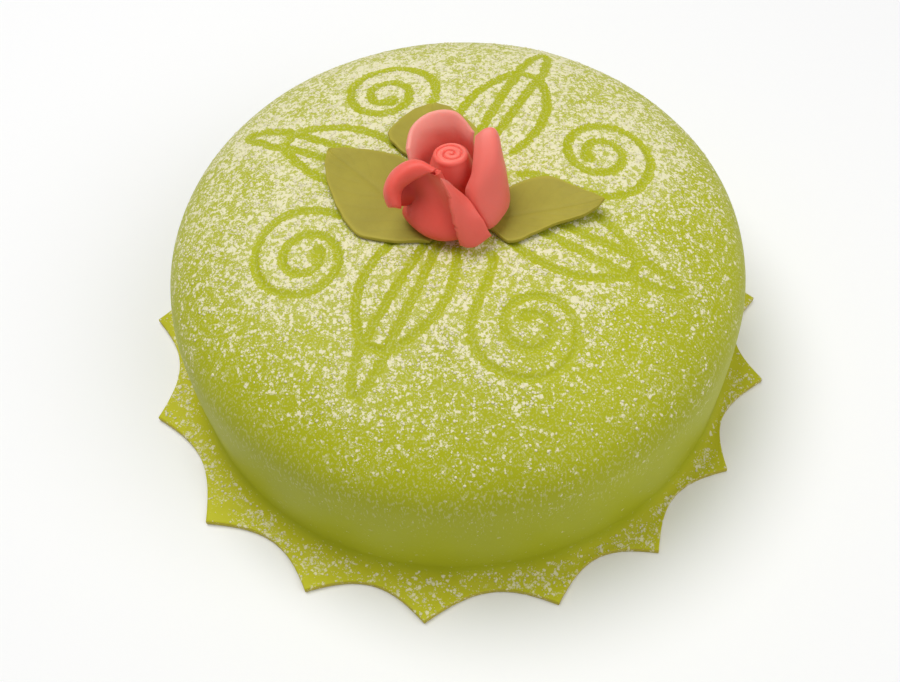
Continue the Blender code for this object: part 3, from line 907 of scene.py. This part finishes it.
def make_olive():
    material, tree, shader = new_material("olive_marzipan")
    paste = mottled(tree, OLIVE, 0.88, 60.0, 5.0, 0.65)
    # The veins are painted darker, as painted shade in the pressed lines.
    vein = times(tree, attribute_value(tree, "vein"), 0.22)
    paste = mix_colours(tree, vein, paste, tuple(c * 0.7 for c in OLIVE))
    # The rim is painted paler, as a painted highlight on the rounded edge.
    edge = remap(tree, attribute_value(tree, "edge"), 0.86, 1.0)
    link(tree, mix_colours(tree, edge, paste, OLIVE_EDGE_HIGHLIGHT), shader.inputs["Base Color"])
    set_values(shader, {"Roughness": 0.6, "Subsurface Weight": 0.10, "Specular IOR Level": 0.3,
                        "Subsurface Radius": (0.003, 0.0025, 0.001), "Subsurface Scale": 0.5})
    grain = times(tree, noise_value(tree, 1400.0, 3.0), 0.5)
    bump(tree, shader, maths(tree, "ADD", grain, noise_value(tree, 260.0, 2.0)), 0.3, 0.0003)
    return material


olive = make_olive()
print("olive marzipan nodes:", len(olive.node_tree.nodes))

# %% Veins of a leaf
VEIN_DEPTH = 0.25 * MM
SIDE_VEINS = 7


def vein_share(along, across):
    """1 on the middle vein, about a half on the side veins, 0 between."""
    middle = math.exp(-(across / 0.05) ** 2)
    wave = (along - 0.35 * abs(across)) * SIDE_VEINS
    off = abs(wave - round(wave))
    side = math.exp(-(off / 0.07) ** 2) * smoothstep(0.0, 0.15, abs(across))
    return max(middle, 0.5 * side * (1.0 - smoothstep(0.7, 0.95, abs(across))))


print("vein share on and off the middle vein:", vein_share(0.5, 0.0), round(vein_share(0.5, 0.3), 2))

# %% Make the leaves
LEAF_COLUMNS, LEAF_ROWS = 110, 64
ROSE_FOOT_CLEAR = 11.8 * MM
rose_axis = SHIFT + Vector((ROSE_X, ROSE_Y, 0))


def cut_round_rose(piece):
    bpy.ops.mesh.primitive_cylinder_add(vertices=96, radius=ROSE_FOOT_CLEAR, depth=0.1,
                                        location=(rose_axis.x, rose_axis.y, APEX_Z))
    cutter = bpy.context.object
    cut = piece.modifiers.new("rose_foot", "BOOLEAN")
    cut.object = cutter
    bpy.context.view_layer.objects.active = piece
    bpy.ops.object.modifier_apply(modifier=cut.name)
    bpy.data.objects.remove(cutter, do_unlink=True)


def make_leaf(name, leaf):
    def surface(along, share):
        return leaf_point(leaf, along, 2 * share - 1) + SHIFT

    piece = sheet_piece("marzipan_" + name, surface, LEAF_COLUMNS, LEAF_ROWS, LEAF_THICKNESS, 40,
                        (0, 0, 1))
    shares = [(along, 2 * share - 1) for along, share in grid_shares(LEAF_COLUMNS, LEAF_ROWS)]
    veins = [vein_share(*pair) for pair in shares]
    edges = [max(abs(across), 2 * along - 1) for along, across in shares]
    for vertex, vein in zip(piece.data.vertices, veins):
        vertex.co.z -= VEIN_DEPTH * vein
    add_values(piece, "vein", veins + [0.0] * len(veins))
    add_values(piece, "edge", edges + edges)
    cut_round_rose(piece)
    piece.data.materials.clear()
    piece.data.materials.append(olive)
    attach(piece, "root")
    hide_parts(name)
    return piece


for name, leaf in LEAVES.items():
    print(name, len(make_leaf(name, leaf).data.polygons), "faces")

# %% [markdown]
# ## Rose petals
#
# A marzipan rose is rolled from small discs, pinched thin at the rim and wrapped round a
# coiled heart. Four pieces show: one behind, one that hugs the heart on the right, one that
# opens to the left with a heavy turned-over lip, and the flap where that one folds back on
# itself. Each follows a few ribs, given as points at belly, waist, crest and rim, and a smooth
# curve runs through them both ways. A foot and a knee below them keep clear of the leaves. The
# flap thins out at its top. A deeper pink is painted in the hollow under the lip and along its
# rim as painted shade. A paler pink is painted on as painted light: the glow of the back petal
# and of the thin rims, and the lighter sides of the other petals and the heart.

# %% Ribs of the petals
FOOT_RADIUS = 9.9 * MM
FOOT_RISE = 0.2 * MM
KNEE_RISE = 4.4 * MM
HANGING = "petal_fold"
PETALS = {
    "petal_back": (
        ((-12.5, 0.0, 6.5), (-14.0, 0.0, 13.0), (-14.3, 1.0, 19.5), (-15.2, 4.0, 24.3)),
        ((-10.8, 8.8, 9.0), (-11.0, 8.4, 17.0), (-11.6, 9.3, 23.0), (-13.0, 11.8, 27.2)),
        ((-5.0, 13.4, 9.0), (-5.0, 13.4, 18.0), (-5.2, 13.8, 24.0), (-6.3, 16.7, 28.6)),
        ((2.3, 14.1, 9.0), (2.4, 13.7, 17.0), (2.3, 14.2, 23.0), (2.4, 16.9, 28.2)),
        ((7.7, 10.0, 7.0), (8.4, 10.0, 13.0), (8.4, 10.4, 18.0), (8.8, 12.3, 22.0)),
    ),
    "petal_right": (
        ((8.9, -14.5, 8.4), (4.6, -10.6, 16.5), (7.1, -7.0, 22.8), (8.8, 3.0, 30.1)),
        ((11.8, -18.0, 6.5), (9.1, -14.0, 17.7), (10.6, -7.5, 25.6), (12.2, 4.0, 32.5)),
        ((15.8, -14.0, 6.5), (16.6, -9.5, 17.4), (15.6, -4.0, 27.0), (15.4, 4.5, 32.0)),
        ((18.4, -7.0, 5.5), (18.4, -3.0, 14.1), (17.0, 1.5, 22.0), (16.0, 6.5, 26.0)),
        ((17.2, 4.0, 6.5), (17.4, 6.0, 14.0), (16.2, 8.0, 19.0), (14.6, 9.5, 22.5)),
    ),
    "petal_left": (
        ((-14.5, -5.0, 7.0), (-17.0, -9.8, 11.0), (-21.7, -14.9, 15.6), (-20.6, -16.8, 18.1),
         (-18.3, -16.0, 16.1)),
        ((-17.0, -9.2, 5.3), (-14.0, -9.6, 13.5), (-22.3, -11.1, 20.5), (-21.0, -13.5, 23.5),
         (-17.7, -12.4, 20.9)),
        ((-12.3, -16.6, 5.0), (-11.4, -9.9, 16.0), (-18.5, -6.5, 24.5), (-17.3, -10.2, 27.4),
         (-14.9, -11.0, 23.4)),
        ((-5.6, -20.6, 4.8), (-6.2, -13.0, 17.0), (-11.0, -6.4, 26.8), (-10.2, -8.7, 29.7),
         (-9.0, -10.9, 27.3)),
        ((1.6, -20.9, 4.6), (0.3, -18.0, 13.0), (-1.3, -15.0, 21.8), (-2.8, -12.6, 27.2),
         (-3.7, -11.9, 30.0)),
    ),
    "petal_fold": (
        ((0.9, -24.0, 4.6), (-0.8, -22.6, 14.5), (-1.5, -18.8, 22.6), (-3.9, -14.6, 29.6)),
        ((6.3, -24.4, 3.2), (4.1, -20.6, 12.3), (0.9, -16.6, 21.0), (-3.0, -14.2, 28.6)),
        ((12.7, -21.2, 5.2), (9.3, -18.4, 12.0), (4.2, -13.9, 17.4), (-2.0, -13.9, 27.2)),
    ),
}
rose_base = SHIFT + Vector((0, 0, dome_height(ROSE_X, ROSE_Y) + GAP))


def rib_lines(name):
    lines = []
    for rib in PETALS[name]:
        line = [rose_base + Vector(point) * MM for point in rib]
        if name != HANGING:
            outward = Vector((line[0].x - rose_axis.x, line[0].y - rose_axis.y, 0.0)).normalized()
            foot = Vector((rose_axis.x, rose_axis.y, rose_base.z)) + outward * FOOT_RADIUS
            line = [foot + Vector((0, 0, FOOT_RISE)), foot + Vector((0, 0, KNEE_RISE))] + line
        lines.append(line)
    return lines


print({name: len(ribs) for name, ribs in PETALS.items()})

# %% Pink marzipan
PINK = (0.88, 0.115, 0.085)
# The paler pink is painted light: the glow of light through thin marzipan and the lighter sides that light
# falls on.
PINK_PAINTED_LIGHT = (0.97, 0.33, 0.27)
# The deeper pink is painted shade, for the hollow under the lip of the left petal.
PINK_SHADE = (0.46, 0.022, 0.014)


def make_pink():
    material, tree, shader = new_material("pink_marzipan")
    paste = mottled(tree, PINK, 0.95, 90.0, 4.0, 0.6)
    paste = mix_colours(tree, attribute_value(tree, "painted_light"), paste, PINK_PAINTED_LIGHT)
    paste = mix_colours(tree, attribute_value(tree, "lip_shade"), paste, PINK_SHADE)
    link(tree, paste, shader.inputs["Base Color"])
    set_values(shader, {"Roughness": 0.45, "Subsurface Weight": 0.4, "Specular IOR Level": 0.3,
                        "Subsurface Radius": (0.005, 0.0018, 0.0013), "Subsurface Scale": 1.0})
    grain = times(tree, noise_value(tree, 1200.0, 3.0), 0.5)
    bump(tree, shader, maths(tree, "ADD", grain, noise_value(tree, 240.0, 2.0)), 0.22, 0.0003)
    return material


pink = make_pink()
print("pink marzipan nodes:", len(pink.node_tree.nodes))

# %% Make the petals
PETAL_COLUMNS, PETAL_ROWS = 72, 72
PETAL_THICKNESS = 2.2 * MM
RAGGED = 0.045                 # how far the torn edge of the flap wanders, as a share of its width
# The paler pink is painted light: the back petal glows with the light behind it, the other petals and the
# heart are painted lighter, and a paler band on the rims and the top of the heart stands in for light through
# the thin marzipan.
PAINTED_LIGHT = {"petal_back": 1.0, "petal_right": 0.3, "petal_left": 0.0, "petal_fold": 0.15}
BUD_PAINTED_LIGHT = 0.18
RIM_PAINTED_LIGHT = 0.25
PAINTED_LIGHT_WIDTH = 0.08              # how far the paler rim reaches, as a share of the petal's height
LIP_SWELL = {"petal_left": 0.2, "petal_fold": -0.7}
# The deeper pink under the lip is painted shade.
LIP_SHADE_STRENGTH = 0.85               # how deep the pink is in the hollow under the turned-over lip


def painted_lip_shade(across, along):
    """Share of the painted shade, a deeper pink, between the waist and the crest of the left petal and along
    its rim.
    """
    hollow = smoothstep(0.40, 0.52, along) * (1 - smoothstep(0.57, 0.65, along))
    rim = smoothstep(0.86, 1.0, along)
    return LIP_SHADE_STRENGTH * max(hollow, 0.35 * rim) * (1 - smoothstep(0.35, 0.8, across))


def make_petal(name):
    lines = rib_lines(name)

    def surface(across, along):
        if name == HANGING:
            tear = noise.noise(Vector((along * 16, 2.5, 0))) + 0.6 * noise.noise(Vector((along * 41, 7.5, 0)))
            across = min(1.0, across + RAGGED * (1 + tear) * (1 - across) ** 3)
        wobble = 0.18 * MM * noise.noise(Vector((across * 5, along * 5, len(name))))
        point = smooth([smooth(line, along) for line in lines], across)
        return point + Vector((wobble, wobble, 0))

    piece = sheet_piece("marzipan_" + name, surface, PETAL_COLUMNS, PETAL_ROWS, PETAL_THICKNESS, 9,
                        lip=LIP_SWELL.get(name, 0.0))
    shares = grid_shares(PETAL_COLUMNS, PETAL_ROWS)
    # A band of painted light runs along the crest, on the lip of the left petal and on the rim of the others.
    crest = 0.72 if name == "petal_left" else 1.0
    painted_light = [PAINTED_LIGHT[name] + RIM_PAINTED_LIGHT * math.exp(-((along - crest) / PAINTED_LIGHT_WIDTH) ** 2)
            for _, along in shares]
    add_values(piece, "painted_light", painted_light + painted_light)
    # The left petal gets painted shade in the hollow under its lip and along its rim.
    if name == "petal_left":
        lip_shade = [painted_lip_shade(*pair) for pair in shares]
        add_values(piece, "lip_shade", lip_shade + lip_shade)
    piece.data.materials.append(pink)
    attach(piece, "root")
    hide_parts(name)
    return piece


for name in PETALS:
    print(name, len(make_petal(name).data.polygons), "faces")

# %% [markdown]
# ## The heart of the rose
#
# The heart is a strip rolled up like a carpet. Only its turned side and the spiral on top
# show, so it is one body of rings: the side follows a profile, and the rings on top rise and
# fall with a spiral phase, which makes round ridges with a narrow valley between the wraps.

# %% Heart of the rose
BUD_HEIGHT = 24.5 * MM
BUD_WRAPS = 2.0
BUD_PROFILE = ((5.2, 0.0), (6.4, 3.0), (7.7, 9.0), (8.2, 15.0), (7.2, 20.0), (6.4, 22.6))
BUD_SIDES = 120
BUD_TOP_RINGS = 44
BUD_RIM = 5.1 * MM
BUD_LEAN = 0.2
ROLL_DEPTH = 1.7 * MM


def bud_rings():
    """(radius, height, share of the spiral) from the foot over the rim to near the middle."""
    side = [Vector(pair) * MM for pair in BUD_PROFILE]
    rings = [(*smooth(side, k / 48), 0.0) for k in range(49)]
    for k in range(1, 7):
        turn = math.pi / 2 * k / 7
        rings.append((BUD_RIM + 1.3 * MM * math.cos(turn), BUD_HEIGHT - 1.9 * MM * (1 - math.sin(turn)), 0.0))
    rings += [(BUD_RIM * (1 - k / BUD_TOP_RINGS), BUD_HEIGHT, 1.0) for k in range(BUD_TOP_RINGS)]
    return rings


def make_heart():
    rings = bud_rings()
    points = []
    for radius, height, spiral in rings:
        for i in range(BUD_SIDES):
            turn = i / BUD_SIDES
            wrap = BUD_WRAPS * radius / BUD_RIM - turn
            valley = (2 * abs(wrap - round(wrap))) ** 3.5
            fade = min(1.0, radius / (0.8 * MM))
            drop = spiral * ROLL_DEPTH * fade * valley * (1 - 0.25 * radius / BUD_RIM)
            angle = 2 * math.pi * turn
            across, back = radius * math.cos(angle), radius * math.sin(angle)
            lean = BUD_LEAN * back * height / BUD_HEIGHT
            points.append(Vector((rose_axis.x + across, rose_axis.y + back,
                                  rose_base.z + height - drop - lean)))
    count = len(points)
    points += [Vector((rose_axis.x, rose_axis.y, rose_base.z)),
               Vector((rose_axis.x, rose_axis.y, rose_base.z + BUD_HEIGHT))]
    faces = spun_faces(len(rings), BUD_SIDES)
    for i in range(BUD_SIDES):
        j = (i + 1) % BUD_SIDES
        faces += [(count, j, i), (count - BUD_SIDES + i, count - BUD_SIDES + j, count + 1)]
    piece = new_piece("marzipan_rose_heart", points, faces, pink)
    turn_outward(piece)
    # The heart is painted lighter, most on its spiral top, as painted light.
    painted_light = [BUD_PAINTED_LIGHT + RIM_PAINTED_LIGHT * spiral for _, _, spiral in rings for _ in range(BUD_SIDES)]
    add_values(piece, "painted_light", painted_light + [BUD_PAINTED_LIGHT, BUD_PAINTED_LIGHT + RIM_PAINTED_LIGHT])
    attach(piece, "root")
    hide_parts("rose_bud")
    return piece


heart = make_heart()
print("heart of the rose:", len(heart.data.polygons), "faces")

# %% [markdown]
# ## Clumps of icing sugar
#
# Damp sugar falls in small clumps that stand up from the marzipan and catch the light, which
# paint alone can't give. Each clump is a flattened, crumpled ball of twenty triangles, half
# sunk in the surface, and all are one joined mesh made from arrays. A draw over the top and the
# skirt keeps a place as often as the coverage and a slow noise say, which gathers the clumps
# in patches. It rejects what leaves or petals cover.

# %% Where clumps lie
SEED = 7
CLUMPS = 9000
SHELTER_REACH = 60 * MM        # anything this close above keeps the sugar off


def shelter_tree():
    points, faces = [], []
    for thing in bpy.data.objects:
        if thing.name.startswith(("marzipan_leaf", "marzipan_petal", "marzipan_rose")):
            first = len(points)
            points += [vertex.co.copy() for vertex in thing.data.vertices]
            faces += [[first + k for k in face.vertices] for face in thing.data.polygons]
    return BVHTree.FromPolygons(points, faces)


def surface_tree():
    return BVHTree.FromPolygons([vertex.co.copy() for vertex in marzipan.data.vertices],
                                [list(face.vertices) for face in marzipan.data.polygons])


def clump_places(count):
    """(point, normal) on the marzipan, as dense as the coverage."""
    draw = random.Random(SEED)
    shelter, surface = shelter_tree(), surface_tree()
    down, up = Vector((0, 0, -1)), Vector((0, 0, 1))
    reach = max(reach for _, reach in outline)
    places = []
    while len(places) < count:
        x, y = draw.uniform(-reach, reach), draw.uniform(-reach, reach)
        chance = draw.random()
        spot, normal, _, _ = surface.ray_cast(Vector((x, y, 0.2)) + SHIFT, down)
        if spot is None:
            continue
        gap = stroke_gap(x, y) if spot.z > SHOULDER_Z else FAR
        gathered = max(0.0, 0.6 + 1.8 * noise.noise(Vector((x, y, 0.9)) * 170))
        if chance > sugar_cover(x, y, spot.z, gap) * gathered * normal.z:
            continue
        if shelter.ray_cast(spot, up, SHELTER_REACH)[0] is None:
            places.append((spot, normal))
    return places


places = clump_places(CLUMPS)
print(len(places), "clumps, the lowest at", round(min(spot.z for spot, _ in places) / MM, 1), "mm")

# %% Clumps as one mesh
CLUMP_SMALL, CLUMP_LARGE = 0.20 * MM, 0.70 * MM
CLUMP_FLATNESS = 0.55


def ball():
    shape = bmesh.new()
    bmesh.ops.create_icosphere(shape, subdivisions=1, radius=1.0)
    corners = np.array([vertex.co for vertex in shape.verts])
    faces = np.array([[vertex.index for vertex in face.verts] for face in shape.faces])
    shape.free()
    return corners, faces


def make_clumps(places):
    draw = np.random.default_rng(SEED)
    corners, faces = ball()
    sizes = CLUMP_SMALL + (CLUMP_LARGE - CLUMP_SMALL) * draw.random(len(places)) ** 2.2
    points = []
    for (spot, normal), size in zip(places, sizes):
        across = normal.orthogonal().normalized()
        turn = draw.uniform(0, 2 * math.pi)
        one = across * math.cos(turn) + normal.cross(across) * math.sin(turn)
        axes = np.array([one * draw.uniform(0.8, 1.3), normal.cross(one), normal * CLUMP_FLATNESS])
        crumpled = corners * draw.uniform(0.7, 1.15, (len(corners), 1))
        points.append(np.array(spot) + size * crumpled @ axes)
    joined = (faces[None] + len(corners) * np.arange(len(places))[:, None, None]).reshape(-1, 3)
    return new_piece("sugar_clumps", np.concatenate(points), [tuple(map(int, face)) for face in joined])


def make_icing_sugar():
    material, tree, shader = new_material("icing_sugar")
    link(tree, mottled(tree, SUGAR, 0.94, 500.0), shader.inputs["Base Color"])
    set_values(shader, {"Roughness": 0.9, "Specular IOR Level": 0.2})
    bump(tree, shader, noise_value(tree, 2500.0, 2.0), 0.4, 0.0002)
    return material


clumps = make_clumps(places)
clumps.data.materials.append(make_icing_sugar())
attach(clumps, "root")
print("sugar clumps:", len(clumps.data.polygons), "triangles")

# %% [markdown]
# ## The end

# %% Finish
print("finished")
